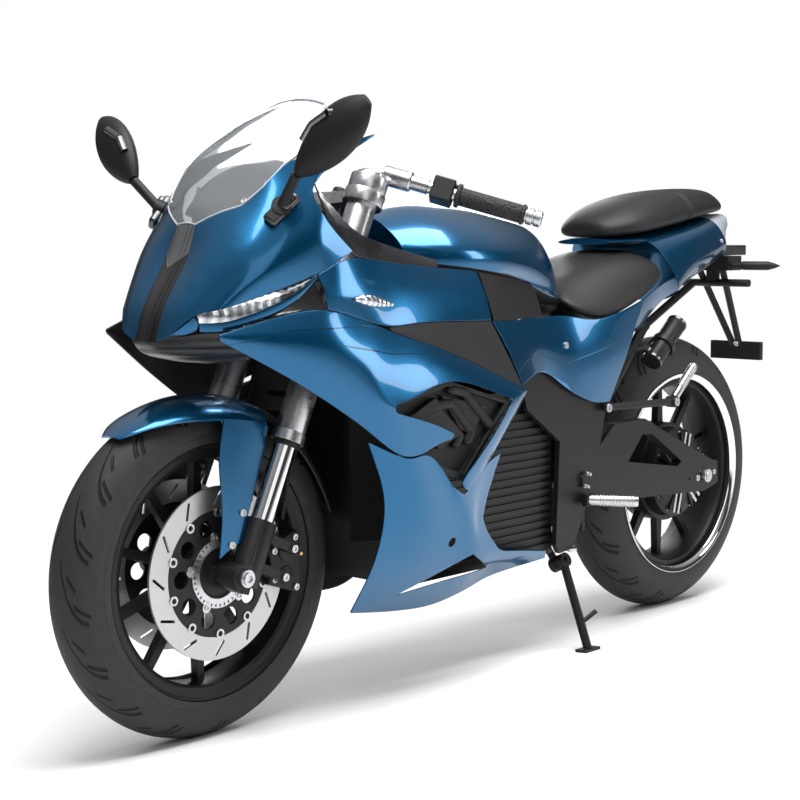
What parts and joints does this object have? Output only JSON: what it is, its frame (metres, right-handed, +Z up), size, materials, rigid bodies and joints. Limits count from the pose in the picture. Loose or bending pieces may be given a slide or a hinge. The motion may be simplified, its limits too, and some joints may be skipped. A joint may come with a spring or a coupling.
{
  "type": "electric motorcycle",
  "caption": "Fully faired electric sport motorcycle with a hub motor in the rear wheel, parked on its side stand; steering, wheels and stand move.",
  "frame": {"origin": "middle of the bounding box on the floor, with the machine leaning on its side stand", "axes": "+X forward, +Y to the rider's left, +Z up"},
  "size_m": [2.0448, 0.72, 1.1126],
  "materials": {
    "blue_paint": "gloss lacquer over moulded plastic",
    "black_plastic": "fine moulded grain",
    "grey_trim": "satin",
    "pale_trim": "satin",
    "frame_paint": "satin black paint",
    "black_casting": "satin black paint on cast aluminium",
    "silver_metal": "satin machined",
    "chrome_leg": "polished",
    "disc_steel": "ground",
    "tyre": "matt",
    "grip_rubber": "knurled",
    "seat_cover": "grained vinyl",
    "clear_lens": "polished",
    "red_lens": "polished"
  },
  "bodies": {
    "chassis": {"main_frame": "frame_paint", "subframe": "frame_paint", "battery_case": "black_casting", "swingarm": "black_casting", "rear_axle": "silver_metal", "fairing_stay": "frame_paint", "upper_cowl": "blue_paint", "nose_insert": "black_plastic", "headlamps": "clear_lens", "chin_duct": "black_plastic", "windscreen": "clear_lens", "instrument_panel": "black_plastic", "mirrors": "black_plastic", "front_indicators": "clear_lens", "inner_panels": "black_plastic", "mid_panels": "blue_paint", "lamp_fillers": "black_plastic", "cockpit_rails": "black_plastic", "side_fairings": "blue_paint", "side_inserts": "grey_trim", "vent_louvres": "black_plastic", "lower_fairings": "blue_paint", "tank_cover": "blue_paint", "knee_pads": "black_plastic", "rear_side_covers": "blue_paint", "rider_seat": "seat_cover", "pillion_seat": "seat_cover", "tail_cowl": "blue_paint", "tail_cap": "pale_trim", "tail_lamp": "red_lens", "rear_indicators": "black_plastic", "plate_hanger": "black_plastic", "rider_pegs": "silver_metal", "passenger_pegs": "silver_metal", "shock_reservoir": "black_casting"},
    "steering": {"yokes": "silver_metal", "fork_tubes": "silver_metal", "fork_legs": "chrome_leg", "fork_feet": "black_casting", "front_axle": "silver_metal", "front_fender": "blue_paint", "fender_flap": "grey_trim", "calipers": "black_casting", "handlebars": "silver_metal", "switchgear": "black_plastic", "grips": "grip_rubber", "brake_hoses": "black_plastic"},
    "front_wheel": {"front_tyre": "tyre", "front_rim": "black_casting", "front_discs": "disc_steel", "disc_carriers": "black_casting", "tone_ring": "silver_metal"},
    "rear_wheel": {"rear_tyre": "tyre", "rear_rim": "black_casting", "hub_motor": "black_casting"},
    "side_stand": {"side_stand": "frame_paint"}
  },
  "joints": [
    {"name": "steering", "type": "hinge", "parent": "chassis", "child": "steering", "pos_m": [0.41443, -0.01057, 0.84261], "axis": [-0.4226, 0.079, 0.9029], "range_deg": [-22, 22]},
    {"name": "front_wheel_spin", "type": "hinge", "parent": "steering", "child": "front_wheel", "pos_m": [0.7295, -0.05873, 0.29209], "axis": [0, 0.9962, -0.0872], "continuous": true},
    {"name": "rear_wheel_spin", "type": "hinge", "parent": "chassis", "child": "rear_wheel", "pos_m": [-0.6705, -0.0569, 0.31301], "axis": [0, 0.9962, -0.0872], "continuous": true},
    {"name": "side_stand_fold", "type": "hinge", "parent": "chassis", "child": "side_stand", "pos_m": [-0.1505, 0.056, 0.18067], "axis": [0, 0.9205, 0.3907], "range_deg": [0, 95]}
  ]
}
